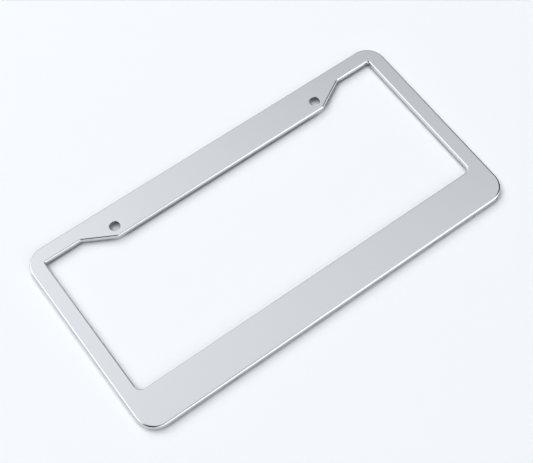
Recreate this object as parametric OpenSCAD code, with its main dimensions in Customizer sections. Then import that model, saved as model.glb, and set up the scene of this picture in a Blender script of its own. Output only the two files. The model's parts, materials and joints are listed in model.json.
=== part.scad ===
// Number plate frame: one polished sheet, cut with a wide window, with its outer edge and its
// window edge both turned back. It lies face up on its outer rim, which stands on z = 0.
// +X runs along the long side, +Y towards the bar with the bolt holes, +Z out of the front face.

/* [Frame] */
// Width over the outer rim
frame_w = 312; // [290:1:340]
// Height over the outer rim
frame_h = 160; // [150:1:190]
// Depth from the front face to the edge of the outer rim
frame_depth = 6; // [4.5:0.5:12]
// Corner radius of the outer rim
corner_r = 15; // [6:0.5:30]

/* [Sheet] */
// Thickness of the sheet
sheet_t = 0.6; // [0.4:0.1:0.9]
// Outside radius of the bend between the face and a turned edge
bend_r = 1.2; // [1:0.1:1.8]

/* [Window] */
// Width of each side bar
side_bar = 12.2; // [8:0.2:20]
// Height of the bar below the window
bottom_bar = 29.5; // [15:0.5:40]
// Height of the two narrow ends of the bar above the window
top_bar = 12; // [8:0.5:16]
// Depth of the window's turned edge, from the front face
lip_depth = 3.6; // [2.8:0.1:4]
// Radius of the window's two lower corners
low_corner_r = 4.8; // [2:0.2:8]
// Radius of the window's two upper corners
high_corner_r = 1.5; // [0.8:0.1:5]

/* [Bolt holes] */
// Distance between the centres of the two holes
hole_spacing = 177.8; // [165:0.1:190]
// Diameter of a hole
hole_d = 8; // [6:0.5:9]
// Distance of the holes' centres from the top of the frame
hole_drop = 17; // [15:0.5:20]
// Metal between the edge of a hole and the window's edge below it
hole_land = 4; // [3:0.5:7]
// How far the deep part of the top bar runs past the centre of each hole
bar_overrun = 2.1; // [0.5:0.1:6]
// Length across which the top bar slants up to its narrow end
slant_run = 23.5; // [15:0.5:28]
// Radius of the bar's corner at the deep end of each slant
deep_corner_r = 2.4; // [2.4:0.1:5]
// Radius of the bar's corner at the narrow end of each slant
slant_corner_r = 1; // [0.5:0.1:5]

/* [Plate tabs] */
// Width of the two tabs folded in from the rim below the window, in line with the bolt holes
tab_w = 12; // [6:0.5:20]
// Outside radius of the bend between the rim and a tab
tab_bend_r = 2.5; // [1.2:0.1:2.8]
// How far a tab reaches in from the outside of the rim, behind the plate's lower edge
tab_reach = 9; // [6:0.5:14]
// Gap cut on each side of a tab, and above the start of its bend
tab_relief = 0.3; // [0.2:0.1:0.5]

/* [Hidden] */
$fn = 96;

// How far the bends' sections run on into the flat sheet that they are part of
flat_lap = 0.5;
// How far a tab runs up into the rim above its relief cuts
tab_lap = 0.2;
// A slanted length of edge is this much thinner on each side than the lengths at its ends, and runs
// this far into them, so that no two faces there lie almost on each other.
slant_slack = 0.005;
slant_sink = 0.04;
// Angle of each step round an arc of the flat sheet's outline, which the laps hide
arc_step = 8;
cut_over = 1;

// Edges of the window
window_x = frame_w / 2 - side_bar;
window_low = -frame_h / 2 + bottom_bar;
window_high = frame_h / 2 - top_bar;
hole_x = hole_spacing / 2;
hole_y = frame_h / 2 - hole_drop;
deep_y = hole_y - hole_d / 2 - hole_land;
deep_x = hole_x + bar_overrun;
slant_x = deep_x + slant_run;

// The +X half of each outline: [x, y, radius] at each corner, with the metal on the left of the way
// along it. Both ends are on the middle line, where the two halves meet.
rim_half = [
    [0, -frame_h / 2, 0],
    [frame_w / 2, -frame_h / 2, corner_r],
    [frame_w / 2, frame_h / 2, corner_r],
    [0, frame_h / 2, 0]
];
window_half = [
    [0, deep_y, 0],
    [deep_x, deep_y, deep_corner_r],
    [slant_x, window_high, slant_corner_r],
    [window_x, window_high, high_corner_r],
    [window_x, window_low, low_corner_r],
    [0, window_low, 0]
];

function spot(half, i) = [half[i].x, half[i].y];
function is_end(half, i) = i == 0 || i == len(half) - 1;
function ahead(angle) = [cos(angle), sin(angle)];
function leftwards(angle) = [-sin(angle), cos(angle)];
function within_half_turn(angle) = angle > 180 ? angle - 360 : (angle <= -180 ? angle + 360 : angle);

// Direction from corner i to the next one
function heading(half, i) = let (d = spot(half, i + 1) - spot(half, i)) atan2(d.y, d.x);
// How far the outline turns at corner i, positive to the left
function turn(half, i) =
    is_end(half, i) ? 0 : within_half_turn(heading(half, i) - heading(half, i - 1));
// Length from corner i to each end of its arc
function setback(half, i) = half[i][2] * tan(abs(turn(half, i)) / 2);

// To the nearest thousandth of a millimetre
function rounded(p) = [for (c = p) round(c * 1000) / 1000];
function arc_centre(half, i) =
    let (a = heading(half, max(i - 1, 0)))
    rounded(spot(half, i) - setback(half, i) * ahead(a) + sign(turn(half, i)) * half[i][2] * leftwards(a));
function arc_point(half, i, angle) =
    arc_centre(half, i) - sign(turn(half, i)) * half[i][2] * leftwards(angle);
function arc_start(half, i) = arc_point(half, i, heading(half, max(i - 1, 0)));
function arc_end(half, i) = arc_point(half, i, heading(half, i));

// Points along half an outline at a distance d into the metal. Those of an arc are at the middles of
// short steps, so that none lies where the turned edge changes from one length to the next.
function points_within(half, d) = [
    spot(half, 0) + d * leftwards(heading(half, 0)),
    for (i = [1 : len(half) - 2])
        let (angle = turn(half, i), first = heading(half, i - 1) - 90 * sign(angle))
        let (steps = ceil(abs(angle) / arc_step))
        for (k = [0.5 : steps])
            arc_centre(half, i) + (half[i][2] - sign(angle) * d) * ahead(first + angle * k / steps),
    spot(half, len(half) - 1) + d * leftwards(heading(half, len(half) - 2))
];

// Section of a turned edge: x runs from the outside of the wall into the metal, y is height.
// It is thinner by slack on each side.
module turned_edge(depth, slack) {
    translate([slack, frame_depth - depth + slack])
        square([sheet_t - 2 * slack, depth - bend_r - slack]);
    translate([bend_r, frame_depth - bend_r])
        intersection() {
            difference() {
                circle(bend_r - slack);
                circle(bend_r - sheet_t + slack);
            }
            translate([-bend_r, 0])
                square(bend_r);
        }
    translate([bend_r, frame_depth - sheet_t + slack])
        square([flat_lap - slack, sheet_t - 2 * slack]);
}

// The straight length of turned edge that follows corner i
module straight_edge(half, i, depth) {
    angle = heading(half, i);
    slanted = abs(sin(2 * angle)) > 0.001;
    sink = slanted ? slant_sink : 0;
    start = arc_end(half, i) - sink * ahead(angle);
    end = arc_start(half, i + 1) + sink * ahead(angle);
    translate([start.x, start.y, 0])
        rotate([0, 0, angle])
            rotate([90, 0, 90])
                linear_extrude(norm(end - start))
                    turned_edge(depth, slanted ? slant_slack : 0);
}

// The turned edge round corner i, with its section swung about the middle of the arc
module corner_edge(half, i, depth) {
    left = turn(half, i) > 0;
    centre = arc_centre(half, i);
    first = left ? heading(half, i - 1) - 90 : heading(half, i) + 90;
    translate([centre.x, centre.y, 0])
        rotate([0, 0, first])
            rotate_extrude(angle = abs(turn(half, i)))
                translate([half[i][2], 0])
                    mirror([left ? 1 : 0, 0])
                        turned_edge(depth, 0);
}

module edge_half(half, depth) {
    for (i = [0 : len(half) - 2])
        straight_edge(half, i, depth);
    for (i = [1 : len(half) - 2])
        corner_edge(half, i, depth);
}

// Half of the flat sheet, which ends within the flat laps of the turned edges
module sheet_half() {
    inset = bend_r + flat_lap / 2;
    translate([0, 0, frame_depth - sheet_t])
        linear_extrude(sheet_t)
            difference() {
                polygon(points_within(rim_half, inset));
                polygon(points_within(window_half, inset));
            }
}

module bolt_hole() {
    translate([hole_x, hole_y, frame_depth - sheet_t - cut_over])
        cylinder(d = hole_d, h = sheet_t + 2 * cut_over);
}

// The gap in the lower rim that a tab is folded in
module tab_gap() {
    gap_w = tab_w + 2 * tab_relief;
    translate([hole_x - gap_w / 2, -frame_h / 2 - cut_over, -cut_over])
        cube([gap_w, sheet_t + 2 * cut_over, tab_bend_r + tab_relief + cut_over]);
}

// A tab that goes on from the rim, turns through a quarter circle and lies flat
module plate_tab() {
    translate([hole_x - tab_w / 2, -frame_h / 2, 0])
        rotate([90, 0, 90])
            linear_extrude(tab_w) {
                translate([0, tab_bend_r])
                    square([sheet_t, tab_relief + tab_lap]);
                translate([tab_bend_r, tab_bend_r])
                    intersection() {
                        difference() {
                            circle(tab_bend_r);
                            circle(tab_bend_r - sheet_t);
                        }
                        translate([-tab_bend_r, -tab_bend_r])
                            square(tab_bend_r);
                    }
                translate([tab_bend_r, 0])
                    square([tab_reach - tab_bend_r, sheet_t]);
            }
}

module frame_half() {
    difference() {
        sheet_half();
        bolt_hole();
    }
    difference() {
        edge_half(rim_half, frame_depth);
        tab_gap();
    }
    plate_tab();
    edge_half(window_half, lip_depth);
}

module plate_frame() {
    color("silver") {
        frame_half();
        mirror([1, 0, 0])
            frame_half();
    }
}

plate_frame();
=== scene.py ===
"""A polished frame for a number plate, pressed from one sheet, on a pale studio floor.

The sheet is cut out flat, given its rounded corners and bolt holes, and folded down along its outer
edge and its window. Two tabs are folded in from the lower rim, and then the sheet is given its
thickness. +X runs along the long side, +Y towards the bar with the bolt holes and +Z out of the
front face. Everything is in metres.
"""

import json
import math

import bmesh
import bpy
from bpy.props import FloatProperty, FloatVectorProperty, IntProperty, PointerProperty
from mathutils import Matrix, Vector


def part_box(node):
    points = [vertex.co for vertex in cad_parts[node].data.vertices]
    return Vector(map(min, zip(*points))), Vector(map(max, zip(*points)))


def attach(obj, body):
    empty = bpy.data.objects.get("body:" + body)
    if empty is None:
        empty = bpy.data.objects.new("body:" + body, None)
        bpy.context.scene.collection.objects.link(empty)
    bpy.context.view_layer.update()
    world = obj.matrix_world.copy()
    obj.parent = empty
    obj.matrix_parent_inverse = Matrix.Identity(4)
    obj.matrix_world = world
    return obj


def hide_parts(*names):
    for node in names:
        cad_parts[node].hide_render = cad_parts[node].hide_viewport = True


bl_info = {
    "name": "Number Plate Frame",
    "version": (1, 0, 0),
    "blender": (4, 5, 0),
    "location": "View3D > Sidebar > Plate Frame",
    "description": "A polished sheet metal frame for a number plate, and the studio it lies in",
    "category": "Add Mesh",
}

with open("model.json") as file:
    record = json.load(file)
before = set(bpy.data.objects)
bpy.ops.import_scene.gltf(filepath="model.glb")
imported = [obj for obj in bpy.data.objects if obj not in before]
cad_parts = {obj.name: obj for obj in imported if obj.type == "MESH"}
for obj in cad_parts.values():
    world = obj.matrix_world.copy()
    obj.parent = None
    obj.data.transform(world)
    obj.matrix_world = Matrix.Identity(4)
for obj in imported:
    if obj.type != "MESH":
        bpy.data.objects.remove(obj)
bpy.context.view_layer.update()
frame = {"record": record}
LOW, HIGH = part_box("plate_frame")
SIZE = HIGH - LOW
PLATE_BOLTS = next(m for m in frame["record"]["mounts"] if m["name"] == "plate_bolts")
NEAR = 1e-5  # how close two places are that count as the same
SHARP = 1.0  # the angle between two faces that makes their edge a sharp one, in radians
FACE_MARGIN = 0.0001  # width of the flat strip that is kept between the face and its folds


def length(name, description, default, **limits):
    return FloatProperty(
        name=name, description=description, default=default, unit="LENGTH", **limits
    )


def number(name, description, default, **limits):
    return FloatProperty(name=name, description=description, default=default, min=0, **limits)


def colour(name, description, default):
    return FloatVectorProperty(
        name=name, description=description, default=default, size=4, subtype="COLOR", min=0, max=1
    )


class SheetSizes(bpy.types.PropertyGroup):
    width: length("Width", "Width over the outer rim", SIZE.x)
    height: length("Height", "Height over the outer rim", SIZE.y)
    depth: length("Depth", "From the front face to the edge of the rim", SIZE.z)
    corner_radius: length("Corner radius", "Radius of the rim's four corners", 0.015)
    thickness: length("Thickness", "Thickness of the sheet", 0.0006)
    fold_radius: length("Fold radius", "Outside radius of the rim's fold", 0.0014)
    edge_break: length("Edge break", "How far the cut edges are rounded off", 0.00008)
    fold_steps: IntProperty(
        name="Fold steps", description="Faces round each fold", default=10, min=2
    )


class WindowSizes(bpy.types.PropertyGroup):
    side_bar: length("Side bar", "Width of each side bar", 0.0122)
    bottom_bar: length("Bottom bar", "Height of the bar below the window", 0.0295)
    top_bar: length("Top bar ends", "Height of the narrow ends of the top bar", 0.012)
    deep_bar: length("Top bar middle", "Height of the deep part of the top bar", 0.025)
    bar_overrun: length("Overrun", "From each hole's centre to the end of the deep part", 0.0021)
    slant_run: length("Slant", "Length across which the top bar slants", 0.0235)
    lip_depth: length("Lip depth", "From the front face to the edge of the window's lip", 0.0036)
    fold_radius: length("Lip fold radius", "Outside radius of the lip's fold", 0.0012)
    low_radius: length("Lower radius", "Radius of the window's lower corners", 0.0048)
    high_radius: length("Upper radius", "Radius of the window's upper corners", 0.0015)
    deep_radius: length("Deep radius", "Corner radius at the deep end of each slant", 0.0024)
    slant_radius: length("Slant radius", "Corner radius at the narrow end of each slant", 0.001)


class BoltHoleSizes(bpy.types.PropertyGroup):
    spacing: length(
        "Spacing", "Between the holes' centres", PLATE_BOLTS["dims"]["spacing_x_mm"] / 1000
    )
    radius: length("Radius", "Radius of each hole", PLATE_BOLTS["dims"]["hole_r_mm"] / 1000)
    across: length("Place", "The holes' centres along Y", PLATE_BOLTS["pos_m"][1])
    rollover: length("Rollover", "How far the punch has rounded the upper edge", 0.0002)
    steps: IntProperty(name="Steps", description="Edges round each hole", default=64, min=16)


class TabSizes(bpy.types.PropertyGroup):
    width: length("Width", "Width of the two tabs folded in from the lower rim", 0.012)
    fold_radius: length("Tab fold radius", "Outside radius of a tab's fold", 0.0025)
    reach: length("Reach", "How far a tab reaches in from the outside of the rim", 0.009)
    relief: length("Relief", "Gap on each side of a tab and above its fold", 0.0003)


class SteelFinish(bpy.types.PropertyGroup):
    polished: colour("Polished", "Colour of the polished front", (0.66, 0.66, 0.66, 1))
    polish_roughness: number("Polish roughness", "Roughness of the front", 0.035, max=1)
    polish_grain: number("Polish grain", "Clouds of haze in the polish, per metre", 160)
    mill: colour("Mill finish", "Colour of the back and of the cut edges", (0.56, 0.56, 0.56, 1))
    mill_roughness: number("Mill roughness", "Roughness of the back", 0.3, max=1)
    mill_grain: number("Mill grain", "Clouds of haze in the mill finish, per metre", 900)
    sheet_waves: number("Sheet waves", "Height of the sheet's long waves, in mm", 0.25)
    wall_waves: number("Wall waves", "Height of the folded walls' short waves, in mm", 0.2)


class StudioSettings(bpy.types.PropertyGroup):
    floor: colour("Floor", "Colour of the floor", (0.84, 0.865, 0.905, 1))
    floor_size: length("Floor size", "Length of the floor's sides", 5)
    key_power: number("Key light", "Power of the high light, W", 450)
    side_power: number("Side light", "Power of the light to the left, W", 75)
    front_power: number("Front light", "Power of the light in front, W", 75)
    bounce: number("Bounce", "Light that the steel throws on the floor", 0.4)


def edit_mesh():
    return bmesh.from_edit_mesh(bpy.context.object.data)


def choose(kind, test):
    """Select the VERT, EDGE or FACE parts of the mesh in edit mode that pass a test."""
    bpy.ops.mesh.select_mode(type=kind)
    bpy.ops.mesh.select_all(action="DESELECT")
    mesh = edit_mesh()
    parts = {"VERT": mesh.verts, "EDGE": mesh.edges, "FACE": mesh.faces}[kind]
    chosen = [part for part in parts if test(part)]
    if not chosen:
        raise RuntimeError(f"no {kind.lower()} passes the test")
    for part in chosen:
        part.select_set(True)
    mesh.select_flush_mode()
    bmesh.update_edit_mesh(bpy.context.object.data)


def middle(part):
    return sum((vert.co for vert in part.verts), Vector()) / len(part.verts)


def same(a, b):
    return abs(a - b) < NEAR


def cut(point, normal, test):
    """Cut the faces that pass a test along a plane."""
    choose("FACE", test)
    bpy.ops.mesh.bisect(plane_co=point, plane_no=normal, threshold=1e-7)


class Outline:
    """The places of the sheet's edges, seen from the front."""

    def __init__(self, scene):
        sheet, window, holes = scene.plate_sheet, scene.plate_window, scene.plate_holes
        self.x, self.y, self.z = sheet.width / 2, sheet.height / 2, sheet.depth
        self.window_x = self.x - window.side_bar
        self.low = -self.y + window.bottom_bar
        self.high = self.y - window.top_bar
        self.deep = self.y - window.deep_bar
        self.deep_x = holes.spacing / 2 + window.bar_overrun
        self.slant_x = self.deep_x + window.slant_run
        self.hole_x, self.hole_y, self.hole_r = holes.spacing / 2, holes.across, holes.radius

    def bar_end(self, y):
        """Where the top bar's slanted edge is at a height y."""
        share = (y - self.deep) / (self.high - self.deep)
        return self.deep_x + share * (self.slant_x - self.deep_x)

    def is_window(self, p):
        if abs(p.x) > self.window_x or not self.low < p.y < self.high:
            return False
        return p.y < self.deep or abs(p.x) > self.bar_end(p.y)

    def is_outer(self, p):
        reach = (self.x - self.window_x) / 2
        return abs(p.x) > self.x - reach or abs(p.y) > self.y - reach

    def at_hole(self, p):
        return max(abs(abs(p.x) - self.hole_x), abs(p.y - self.hole_y)) < self.hole_r + NEAR


def cut_sheet_outline(line):
    """Start from a plain sheet, and cut out its window and a square for each bolt hole."""
    bpy.ops.mesh.primitive_plane_add(size=1, location=(0, 0, line.z))
    bpy.context.object.scale = (2 * line.x, 2 * line.y, 1)
    bpy.ops.object.transform_apply(location=True, rotation=True, scale=True)
    bpy.ops.object.mode_set(mode="EDIT")

    for x in (0, -line.window_x, line.window_x):
        cut((x, 0, 0), (1, 0, 0), lambda face: True)
    for y in (line.low, line.high):
        cut((0, y, 0), (0, 1, 0), lambda face: True)

    def is_inner(face):
        p = middle(face)
        return abs(p.x) < line.window_x and line.low < p.y < line.high

    def is_stepped(face):
        return is_inner(face) and middle(face).y > line.deep

    def is_bar(face):
        return middle(face).y > line.deep and not line.is_window(middle(face))

    cut((0, line.deep, 0), (0, 1, 0), is_inner)
    for side in (-1, 1):
        cut((side * line.deep_x, 0, 0), (1, 0, 0), is_stepped)
        cut((side * line.slant_x, 0, 0), (1, 0, 0), is_stepped)
        across = (side * (line.deep - line.high), line.slant_x - line.deep_x, 0)
        cut(
            (side * line.deep_x, line.deep, 0),
            across,
            lambda face: is_stepped(face) and line.deep_x < side * middle(face).x < line.slant_x,
        )
        for x in (line.hole_x - line.hole_r, line.hole_x, line.hole_x + line.hole_r):
            cut((side * x, 0, 0), (1, 0, 0), is_bar)
    for y in (line.hole_y - line.hole_r, line.hole_y, line.hole_y + line.hole_r):
        cut((0, y, 0), (0, 1, 0), is_bar)
    choose("FACE", lambda face: line.is_window(middle(face)) or line.at_hole(middle(face)))
    bpy.ops.mesh.delete(type="FACE")


def merge_flat_faces(line):
    """Merge the cells into a few large faces, which meet along seams that no corner touches."""

    def is_seam(edge):
        p = middle(edge)
        along_middle = same(p.x, 0)
        to_hole = same(p.y, line.hole_y) and abs(p.x) < line.hole_x
        past_hole = same(abs(p.x), line.hole_x) and p.y > line.hole_y
        return along_middle or to_hole or past_hole

    choose("EDGE", is_seam)
    bpy.ops.mesh.mark_seam(clear=False)
    bpy.ops.mesh.select_all(action="SELECT")
    bpy.ops.mesh.dissolve_limited(angle_limit=0.01, use_dissolve_boundaries=False, delimit={"SEAM"})


def round_corners(line, scene):
    """Round the outline's corners, and the corners of each hole's square until it is a circle."""
    window = scene.plate_window
    hole_steps = scene.plate_holes.steps // 4
    slant = math.atan2(line.high - line.deep, line.slant_x - line.deep_x)
    right_angle = math.pi / 2
    # Place, radius and turn of each pair of corners, and the number of edges round it
    corners = [
        (line.x, line.y, scene.plate_sheet.corner_radius, right_angle, 28),
        (line.x, -line.y, scene.plate_sheet.corner_radius, right_angle, 28),
        (line.window_x, line.low, window.low_radius, right_angle, 14),
        (line.window_x, line.high, window.high_radius, right_angle, 8),
        (line.deep_x, line.deep, window.deep_radius, slant, 4),
        (line.slant_x, line.high, window.slant_radius, slant, 3),
    ]
    # A hole's four arcs stop just short of each other, and their ends are merged below
    arc_radius = line.hole_r - NEAR / 10
    for x in (line.hole_x - line.hole_r, line.hole_x + line.hole_r):
        for y in (line.hole_y - line.hole_r, line.hole_y + line.hole_r):
            corners.append((x, y, arc_radius, right_angle, hole_steps))
    for x, y, radius, turn, steps in corners:
        choose("VERT", lambda vert: same(abs(vert.co.x), x) and same(vert.co.y, y))
        bpy.ops.mesh.bevel(
            offset=radius * math.tan(turn / 2),
            segments=steps,
            profile=0.5,
            affect="VERTICES",
            clamp_overlap=False,
        )
    bpy.ops.mesh.select_all(action="SELECT")
    bpy.ops.mesh.remove_doubles(threshold=NEAR)


def face_outwards():
    """Turn all faces the same way, with the front face up."""
    bpy.ops.mesh.select_all(action="SELECT")
    bpy.ops.mesh.normals_make_consistent(inside=False)
    if max(edit_mesh().faces, key=lambda face: face.calc_area()).normal.z < 0:
        bpy.ops.mesh.flip_normals()


def fold_edges(line, scene):
    """Fold the outer edge and the window's edge down, each with a rounded bend."""
    sheet, window = scene.plate_sheet, scene.plate_window

    def is_free(edge):
        return edge.is_boundary and same(middle(edge).z, line.z) and not line.at_hole(middle(edge))

    def is_fold(edge):
        """Whether an edge lies between an upright face and a flat one."""
        tilts = sorted(abs(face.normal.z) for face in edge.link_faces)
        return len(tilts) == 2 and tilts[0] < 0.1 and tilts[1] > 0.9

    folds = [(True, sheet.depth, sheet.fold_radius), (False, window.lip_depth, window.fold_radius)]
    for is_rim, drop, _ in folds:
        choose("EDGE", lambda edge: is_free(edge) and line.is_outer(middle(edge)) == is_rim)
        bpy.ops.mesh.extrude_edges_move(TRANSFORM_OT_translate={"value": (0, 0, -drop)})

    bpy.ops.mesh.select_mode(type="FACE")
    face_outwards()

    for is_rim, _, radius in folds:
        choose("EDGE", lambda edge: is_fold(edge) and line.is_outer(middle(edge)) == is_rim)
        bpy.ops.mesh.bevel(
            offset=radius,
            segments=sheet.fold_steps,
            profile=0.5,
            affect="EDGES",
            clamp_overlap=False,
        )


def fold_tabs(line, tab, steps):
    """Cut two tabs free in the lower rim's wall, in line with the bolt holes, and fold them in."""
    gap_top = tab.fold_radius + tab.relief

    def from_tab(part):
        """How far a part of the lower wall lies to the side of the nearest tab's middle."""
        p = middle(part)
        on_wall = same(p.y, -line.y) and p.z < line.z / 2
        return abs(abs(p.x) - line.hole_x) if on_wall else math.inf

    def is_low_wall(face):
        return from_tab(face) < math.inf

    def is_tab(part):
        return from_tab(part) < tab.width / 2

    def is_gap(face):
        return tab.width / 2 < from_tab(face) < tab.width / 2 + tab.relief

    def is_waste(face):
        top = tab.fold_radius if is_tab(face) else gap_top
        return (is_tab(face) or is_gap(face)) and middle(face).z < top

    def is_fold(edge):
        return edge.is_boundary and is_tab(edge) and same(middle(edge).z, tab.fold_radius)

    for side in (-1, 1):
        for off in (tab.width / 2, tab.width / 2 + tab.relief):
            for x in (side * line.hole_x - off, side * line.hole_x + off):
                cut((x, 0, 0), (1, 0, 0), is_low_wall)
    cut((0, 0, gap_top), (0, 0, 1), is_gap)
    cut((0, 0, tab.fold_radius), (0, 0, 1), is_tab)
    choose("FACE", is_waste)
    bpy.ops.mesh.delete(type="FACE")
    choose("EDGE", is_fold)
    bpy.ops.mesh.spin(
        steps=steps,
        angle=-math.pi / 2,
        center=(0, -line.y + tab.fold_radius, tab.fold_radius),
        axis=(1, 0, 0),
    )
    bpy.ops.mesh.extrude_edges_move(
        TRANSFORM_OT_translate={"value": (0, tab.reach - tab.fold_radius, 0)}
    )
    bpy.ops.mesh.select_all(action="SELECT")
    bpy.ops.mesh.remove_doubles(threshold=NEAR)
    face_outwards()


def apply_modifier(piece, kind, **settings):
    modifier = piece.modifiers.new(kind.title(), kind)
    for name, value in settings.items():
        setattr(modifier, name, value)
    bpy.ops.object.modifier_apply(modifier=modifier.name)


def finish_edges(piece, line, scene):
    """Give the sheet its thickness, round the holes' upper edges and break the cut edges."""

    def is_sharp(edge):
        return edge.calc_face_angle(0) > SHARP

    def is_hole_rim(edge):
        at_top = all(same(vert.co.z, line.z) for vert in edge.verts)
        return at_top and line.at_hole(middle(edge)) and is_sharp(edge)

    apply_modifier(
        piece,
        "SOLIDIFY",
        thickness=scene.plate_sheet.thickness,
        offset=-1,
        use_even_offset=True,
        material_offset=1,
        material_offset_rim=1,
    )
    bpy.ops.object.mode_set(mode="EDIT")
    edges = [
        (is_hole_rim, scene.plate_holes.rollover, 4),
        (is_sharp, scene.plate_sheet.edge_break, 2),
    ]
    for test, offset, steps in edges:
        choose("EDGE", test)
        bpy.ops.mesh.bevel(offset=offset, segments=steps, profile=0.5, affect="EDGES")
    bpy.ops.object.mode_set(mode="OBJECT")
    bpy.ops.object.shade_smooth()
    apply_modifier(piece, "WEIGHTED_NORMAL", mode="FACE_AREA", weight=100, keep_sharp=False)


class MESH_OT_plate_frame(bpy.types.Operator):
    """Cut, punch, fold and finish the frame's sheet"""

    bl_idname = "mesh.plate_frame_sheet"
    bl_label = "Plate Frame"

    def execute(self, context):
        scene = context.scene
        line = Outline(scene)
        bpy.ops.object.select_all(action="DESELECT")
        cut_sheet_outline(line)
        merge_flat_faces(line)
        round_corners(line, scene)
        bpy.ops.mesh.select_mode(type="FACE")
        bpy.ops.mesh.select_all(action="SELECT")
        margin = scene.plate_sheet.fold_radius + FACE_MARGIN
        bpy.ops.mesh.inset(thickness=margin, use_boundary=True)
        fold_edges(line, scene)
        fold_tabs(line, scene.plate_tabs, scene.plate_sheet.fold_steps)
        bpy.ops.object.mode_set(mode="OBJECT")
        piece = context.object
        piece.name = "polished_plate_frame"
        piece.data.name = "polished_plate_frame"
        finish_edges(piece, line, scene)
        for material in steel_finishes(scene.plate_finish, scene.plate_sheet):
            piece.data.materials.append(material)
        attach(piece, "root")
        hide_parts("plate_frame")
        return {"FINISHED"}


def new_material(name):
    material = bpy.data.materials.new(name)
    material.use_nodes = True
    return material, material.node_tree.nodes["Principled BSDF"]


def feed(tree, value, socket):
    """Give a socket a plain value, or the output of another node."""
    if isinstance(value, bpy.types.NodeSocket):
        tree.links.new(value, socket)
    else:
        socket.default_value = value


def add_math(tree, operation, *values):
    node = tree.nodes.new("ShaderNodeMath")
    node.operation = operation
    for value, socket in zip(values, node.inputs):
        feed(tree, value, socket)
    return node.outputs["Value"]


def add_noise(tree, place, scale, detail, stretch=(1, 1, 1)):
    """A noise that can be stretched, with its scale per metre."""
    mapping = tree.nodes.new("ShaderNodeMapping")
    mapping.inputs["Scale"].default_value = stretch
    noise = tree.nodes.new("ShaderNodeTexNoise")
    noise.inputs["Detail"].default_value = detail
    feed(tree, scale, noise.inputs["Scale"])
    tree.links.new(place, mapping.inputs["Vector"])
    tree.links.new(mapping.outputs["Vector"], noise.inputs["Vector"])
    return noise.outputs["Fac"]


def add_range(tree, value, source, target):
    """Spread a value from one range over another."""
    node = tree.nodes.new("ShaderNodeMapRange")
    for name, limit in zip(("From Min", "From Max", "To Min", "To Max"), (*source, *target)):
        feed(tree, limit, node.inputs[name])
    tree.links.new(value, node.inputs["Value"])
    return node.outputs["Result"]


GRAIN_STRETCH = (0.25, 1, 1)  # the haze runs along the sheet's rolling direction
HAZE_RANGE = (0.3, 0.7)  # the part of the noise that the haze is spread over
LONG_WAVES = 11  # scale of the sheet's waves, per metre
SHORT_WAVES = 55  # scale of the folded walls' waves, per metre
WALL_FADE = 0.0005  # height over which the walls' waves fade out at the fold


def rolled_sheet_group(wall_top):
    """How rolled sheet departs from a perfect mirror: the haze of its polish, the long waves that a
    thin sheet keeps, and the shorter waves that folding leaves in its walls."""
    group = bpy.data.node_groups.new("rolled_sheet", "ShaderNodeTree")
    for name in ("Grain", "Smoothest", "Roughest", "Sheet Waves", "Wall Waves"):
        group.interface.new_socket(name, in_out="INPUT", socket_type="NodeSocketFloat")
    for name in ("Roughness", "Height"):
        group.interface.new_socket(name, in_out="OUTPUT", socket_type="NodeSocketFloat")
    settings = group.nodes.new("NodeGroupInput").outputs
    result = group.nodes.new("NodeGroupOutput").inputs
    place = group.nodes.new("ShaderNodeTexCoord").outputs["Object"]

    haze = add_noise(group, place, settings["Grain"], 3, GRAIN_STRETCH)
    limits = settings["Smoothest"], settings["Roughest"]
    group.links.new(add_range(group, haze, HAZE_RANGE, limits), result["Roughness"])

    split = group.nodes.new("ShaderNodeSeparateXYZ")
    group.links.new(place, split.inputs["Vector"])
    fade = (wall_top - WALL_FADE, wall_top)
    on_wall = add_range(group, split.outputs["Z"], fade, (settings["Wall Waves"], 0))
    long_noise = add_noise(group, place, LONG_WAVES, 1)
    short_noise = add_noise(group, place, SHORT_WAVES, 1)
    long_waves = add_math(group, "MULTIPLY", long_noise, settings["Sheet Waves"])
    height = add_math(group, "MULTIPLY_ADD", short_noise, on_wall, long_waves)
    group.links.new(height, result["Height"])
    return group


MILLIMETRE = 0.001


def steel(name, group, colour_of, values):
    """A bare steel, with the rolled sheet's unevenness in its roughness and in its normals."""
    material, shader = new_material(name)
    nodes, links = material.node_tree.nodes, material.node_tree.links
    shader.inputs["Base Color"].default_value = colour_of
    shader.inputs["Metallic"].default_value = 1
    sheet = nodes.new("ShaderNodeGroup")
    sheet.node_tree = group
    for socket, value in values.items():
        sheet.inputs[socket].default_value = value
    bump = nodes.new("ShaderNodeBump")
    bump.inputs["Distance"].default_value = MILLIMETRE
    links.new(sheet.outputs["Roughness"], shader.inputs["Roughness"])
    links.new(sheet.outputs["Height"], bump.inputs["Height"])
    links.new(bump.outputs["Normal"], shader.inputs["Normal"])
    return material


CLEAREST = 0.8  # roughness of a finish's clearest spots, as a share of its own
HAZIEST_POLISH = 1.25  # the same of the haziest spots of the polish
HAZIEST_MILL = 1.3  # and of the mill finish


def steel_finishes(finish, sheet):
    """The polished steel of the front, and the duller steel of the back and of the cut edges."""
    group = rolled_sheet_group(sheet.depth - sheet.fold_radius)
    waves = {"Sheet Waves": finish.sheet_waves, "Wall Waves": finish.wall_waves}
    polished = {
        "Grain": finish.polish_grain,
        "Smoothest": finish.polish_roughness * CLEAREST,
        "Roughest": finish.polish_roughness * HAZIEST_POLISH,
    }
    rolled = {
        "Grain": finish.mill_grain,
        "Smoothest": finish.mill_roughness * CLEAREST,
        "Roughest": finish.mill_roughness * HAZIEST_MILL,
    }
    return [
        steel("polished_steel", group, finish.polished, {**polished, **waves}),
        steel("mill_steel", group, finish.mill, {**rolled, **waves}),
    ]


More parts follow.
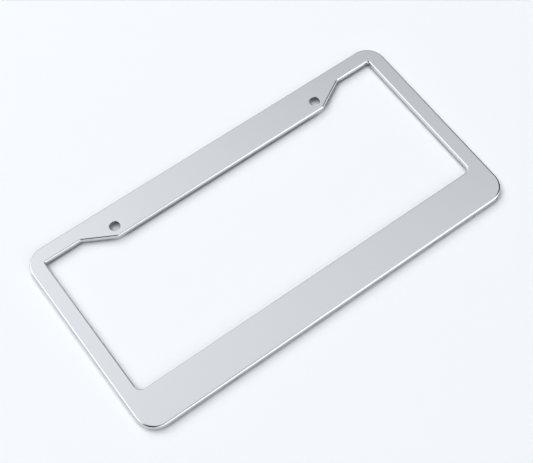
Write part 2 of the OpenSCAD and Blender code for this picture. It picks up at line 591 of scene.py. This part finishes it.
# The studio's soft lights: name, place, size of the two sides and the setting of the power
SOFT_LIGHTS = [
    ("key_light", (-0.3, 2.5, 5.45), (5, 8), "key_power"),
    ("side_light", (-3.9, 0.4, 5.0), (2.5, 3), "side_power"),
    ("front_light", (0.6, -4.8, 4.3), (3, 3), "front_power"),
]


class SCENE_OT_plate_studio(bpy.types.Operator):
    """Make the floor, the lights, the surroundings and the camera"""

    bl_idname = "scene.plate_frame_studio"
    bl_label = "Plate Frame Studio"

    def execute(self, context):
        studio = context.scene.plate_studio
        bpy.ops.object.select_all(action="DESELECT")
        make_floor(studio)
        for name, place, size, power in SOFT_LIGHTS:
            make_soft_light(name, place, size, getattr(studio, power))
        make_sky(context.scene, studio)
        make_camera(context.scene)
        context.scene.view_settings.view_transform = "Standard"
        return {"FINISHED"}


def make_floor(studio):
    bpy.ops.mesh.primitive_plane_add(size=studio.floor_size, location=(0, 0, 0))
    floor = bpy.context.object
    floor.name = "studio_floor"
    material, shader = new_material("studio_floor")
    shader.inputs["Base Color"].default_value = studio.floor
    shader.inputs["Roughness"].default_value = 0.9
    floor.data.materials.append(material)


def make_soft_light(name, place, size, power):
    """Hang a soft light, aimed at the frame, that the steel doesn't mirror."""
    bpy.ops.object.light_add(type="AREA", location=place)
    light = bpy.context.object
    light.name = name
    light.rotation_euler = (-Vector(place)).to_track_quat("-Z", "Y").to_euler()
    light.data.shape = "RECTANGLE"
    light.data.size, light.data.size_y = size
    light.data.energy = power
    light.visible_glossy = False


# The studio's walls as the steel mirrors them: the direction round the frame in degrees, with 0
# along +X and 90 along +Y, the brightness of the wall's lower and upper part there, how high up the
# lower part reaches and how high the whole wall does, in degrees
STUDIO_WALLS = [
    (-180, 0.4, 1.5, 20, 60),
    (-171, 0.3, 0.3, 20, 68),
    (-164, 0.02, 0.02, 10, 73),
    (-130, 0.1, 0.02, 8, 73),
    (-120, 1.5, 0.02, 30, 72),
    (-105, 2.2, 0.03, 44, 69),
    (-92, 2.3, 0.1, 46, 66),
    (-80, 2.7, 0.5, 45, 61),
    (-62, 3.4, 0.8, 47, 56),
    (-38, 3.6, 1.0, 47, 54),
    (-28, 1.2, 0.5, 30, 52),
    (-18, 0.02, 0.02, 30, 56),
    (12, 0.02, 0.02, 30, 62),
    (23, 0.02, 0.02, 20, 61),
    (29, 0.7, 0.5, 20, 55),
    (38, 0.7, 0.5, 20, 52),
    (47, 0.5, 0.5, 20, 42),
    (72, 0.8, 0.7, 20, 38),
    (100, 1.1, 1.1, 20, 48),
    (118, 1.0, 2.1, 12, 53),
    (150, 0.5, 2.2, 12, 56),
    (163, 0.4, 2.2, 14, 57),
    (180, 0.4, 1.5, 20, 60),
]
LOWER, UPPER, LOWER_TOP, WALL_TOP = 1, 2, 3, 4  # the columns of STUDIO_WALLS
BRIGHTEST = 4.0  # what the top of the brightness ramps stands for
ZENITH = 90  # what the top of the height ramps stands for, in degrees
# How far each change of brightness spreads above and below its height, in degrees
WALL_BLUR = 4.5
HORIZON_BLUR = 5.4
CEILING_BLUR = 3.6
# No wall is much brighter than the floor near the horizon, so that low views don't burn out
HORIZON_LIMIT = 1.15
HORIZON_HEIGHT = 22.5  # in degrees
# The brightness of the ceiling that the steel mirrors is a sum of these terms, in how far the
# mirrored direction leans towards +X and +Y. It was chosen for the directions in between the two
# limits, which the flat face mirrors, and holds beyond them.
CEILING = {"level": 0.3, "x": 2.044, "y": 3.18, "xy": -5.756, "xx": -1.682, "yy": -2.304}
CEILING_X = (0.08, 0.46)
CEILING_Y = (0.26, 0.48)
# A dimmer band across the ceiling draws a thin line along the left half of the lower folds
BAND_MIDDLE = -0.22  # along Y
BAND_SLOPE = 2.4  # how fast it brightens away from its middle
BAND_DIMMEST = 0.55
BAND_END = (6, -0.8)  # slope and offset of its end, along X
SKY_SEEN = 0.95  # brightness of the plain background that the camera sees
SKY_TINT = (0.96, 1, 1.058, 1)


def add_within(tree, value, least, most):
    """A value that is held between two limits."""
    return add_math(tree, "MINIMUM", add_math(tree, "MAXIMUM", value, least), most)


def add_mix(tree, share, first, second):
    node = tree.nodes.new("ShaderNodeMix")
    for name, value in (("Factor", share), ("A", first), ("B", second)):
        tree.links.new(value, node.inputs[name])
    return node.outputs["Result"]


def add_stack(tree, rise, below, above, height, blur):
    """One brightness up to a height, and another one above it."""
    share = tree.nodes.new("ShaderNodeMapRange")
    share.interpolation_type = "SMOOTHSTEP"
    share.inputs["From Min"].default_value = -blur / ZENITH
    share.inputs["From Max"].default_value = blur / ZENITH
    tree.links.new(add_math(tree, "SUBTRACT", rise, height), share.inputs["Value"])
    return add_mix(tree, share.outputs["Result"], below, above)


def add_wall_ramp(tree, turn, column, top):
    """A column of STUDIO_WALLS as it changes round the frame, as a share of top."""
    node = tree.nodes.new("ShaderNodeValToRGB")
    elements = node.color_ramp.elements
    while len(elements) < len(STUDIO_WALLS):
        elements.new(0.5)
    for element, stop in zip(elements, STUDIO_WALLS):
        level = stop[column] / top
        element.position = stop[0] / 360 + 0.5
        element.color = (level, level, level, 1)
    tree.links.new(turn, node.inputs["Fac"])
    return node.outputs["Color"]


def studio_walls(tree, turn, rise):
    """How bright the walls are, each with a lower and an upper part."""

    def brightness(column):
        ramp = add_wall_ramp(tree, turn, column, BRIGHTEST)
        return add_math(tree, "MULTIPLY", ramp, BRIGHTEST)

    part_height = add_wall_ramp(tree, turn, LOWER_TOP, ZENITH)
    wall = add_stack(tree, rise, brightness(LOWER), brightness(UPPER), part_height, WALL_BLUR)
    dimmed = add_math(tree, "MINIMUM", wall, HORIZON_LIMIT)
    return add_stack(tree, rise, dimmed, wall, HORIZON_HEIGHT / ZENITH, HORIZON_BLUR)


def studio_ceiling(tree, x, y):
    """How bright the ceiling is in a direction that leans by x and y."""
    east, north = add_within(tree, x, *CEILING_X), add_within(tree, y, *CEILING_Y)
    by_north = add_math(tree, "MULTIPLY_ADD", north, CEILING["yy"], CEILING["y"])
    by_east = add_math(tree, "MULTIPLY_ADD", east, CEILING["xx"], CEILING["x"])
    by_east = add_math(tree, "MULTIPLY_ADD", north, CEILING["xy"], by_east)
    ceiling = add_math(tree, "MULTIPLY_ADD", north, by_north, CEILING["level"])
    ceiling = add_math(tree, "MULTIPLY_ADD", east, by_east, ceiling)
    off_band = add_math(tree, "ABSOLUTE", add_math(tree, "SUBTRACT", y, BAND_MIDDLE))
    off_band = add_math(tree, "MULTIPLY", off_band, BAND_SLOPE)
    past_band = add_math(tree, "MULTIPLY_ADD", x, *BAND_END)
    band = add_within(tree, add_math(tree, "MAXIMUM", off_band, past_band), BAND_DIMMEST, 1)
    return add_math(tree, "MULTIPLY", ceiling, band)


def make_sky(scene, studio):
    """Surround the frame with the studio's walls and ceiling, which only the steel mirrors."""
    world = bpy.data.worlds.new("studio_sky")
    scene.world = world
    world.use_nodes = True
    world.cycles_visibility.diffuse = False
    tree = world.node_tree
    place = tree.nodes.new("ShaderNodeTexCoord")
    split = tree.nodes.new("ShaderNodeSeparateXYZ")
    tree.links.new(place.outputs["Generated"], split.inputs["Vector"])
    x, y, z = (split.outputs[axis] for axis in "XYZ")
    turn = add_math(tree, "MULTIPLY_ADD", add_math(tree, "ARCTAN2", y, x), 0.5 / math.pi, 0.5)
    rise = add_math(tree, "MULTIPLY", add_math(tree, "ARCSINE", z), 2 / math.pi)
    walls, ceiling = studio_walls(tree, turn, rise), studio_ceiling(tree, x, y)
    wall_height = add_wall_ramp(tree, turn, WALL_TOP, ZENITH)
    mirrored = add_stack(tree, rise, walls, ceiling, wall_height, CEILING_BLUR)

    # The camera sees a plain background, and the floor sees a plain one by way of the steel
    path = tree.nodes.new("ShaderNodeLightPath")
    from_camera = path.outputs["Is Camera Ray"]
    from_floor = add_math(tree, "MINIMUM", path.outputs["Diffuse Depth"], 1)
    plain = add_math(tree, "MULTIPLY", from_floor, studio.bounce)
    plain = add_math(tree, "MULTIPLY_ADD", from_camera, SKY_SEEN, plain)
    is_plain = add_math(tree, "MAXIMUM", from_camera, from_floor)
    background = tree.nodes["Background"]
    tree.links.new(add_mix(tree, is_plain, mirrored, plain), background.inputs["Strength"])
    background.inputs["Color"].default_value = SKY_TINT


CAMERA_PLACE = (-0.24987, -0.3399, 0.80137)
CAMERA_TURN = (27.591, 0.088, -36.283)  # in degrees
CAMERA_LENS = 85.78  # focal length on a sensor of CAMERA_SENSOR, both in millimetres
CAMERA_SENSOR = 36


def make_camera(scene):
    """Set the camera at the photograph's viewing angle."""
    turn = [math.radians(angle) for angle in CAMERA_TURN]
    bpy.ops.object.camera_add(location=CAMERA_PLACE, rotation=turn)
    scene.camera = bpy.context.object
    scene.camera.name = "photo_camera"
    scene.camera.data.sensor_width = CAMERA_SENSOR
    scene.camera.data.lens = CAMERA_LENS


class VIEW3D_PT_plate_frame(bpy.types.Panel):
    """The frame's sizes, its finish and its studio"""

    bl_idname = "VIEW3D_PT_plate_frame"
    bl_label = "Plate Frame"
    bl_space_type = "VIEW_3D"
    bl_region_type = "UI"
    bl_category = "Plate Frame"

    def draw(self, context):
        groups = {
            "plate_sheet": "Sheet",
            "plate_window": "Window",
            "plate_holes": "Bolt holes",
            "plate_tabs": "Plate tabs",
            "plate_finish": "Finish",
            "plate_studio": "Studio",
        }
        for group, title in groups.items():
            column = self.layout.column(align=True)
            column.label(text=title)
            settings = getattr(context.scene, group)
            for name in settings.__annotations__:
                column.prop(settings, name)
        self.layout.operator("mesh.plate_frame_sheet")
        self.layout.operator("scene.plate_frame_studio")


SETTINGS = {
    "plate_sheet": SheetSizes,
    "plate_window": WindowSizes,
    "plate_holes": BoltHoleSizes,
    "plate_tabs": TabSizes,
    "plate_finish": SteelFinish,
    "plate_studio": StudioSettings,
}
CLASSES = [*SETTINGS.values(), MESH_OT_plate_frame, SCENE_OT_plate_studio, VIEW3D_PT_plate_frame]


def register():
    for cls in CLASSES:
        bpy.utils.register_class(cls)
    for name, group in SETTINGS.items():
        setattr(bpy.types.Scene, name, PointerProperty(type=group))


def unregister():
    for name in SETTINGS:
        delattr(bpy.types.Scene, name)
    for cls in reversed(CLASSES):
        bpy.utils.unregister_class(cls)


def main():
    register()
    bpy.ops.mesh.plate_frame_sheet()
    bpy.ops.scene.plate_frame_studio()


if __name__ == "__main__":
    main()
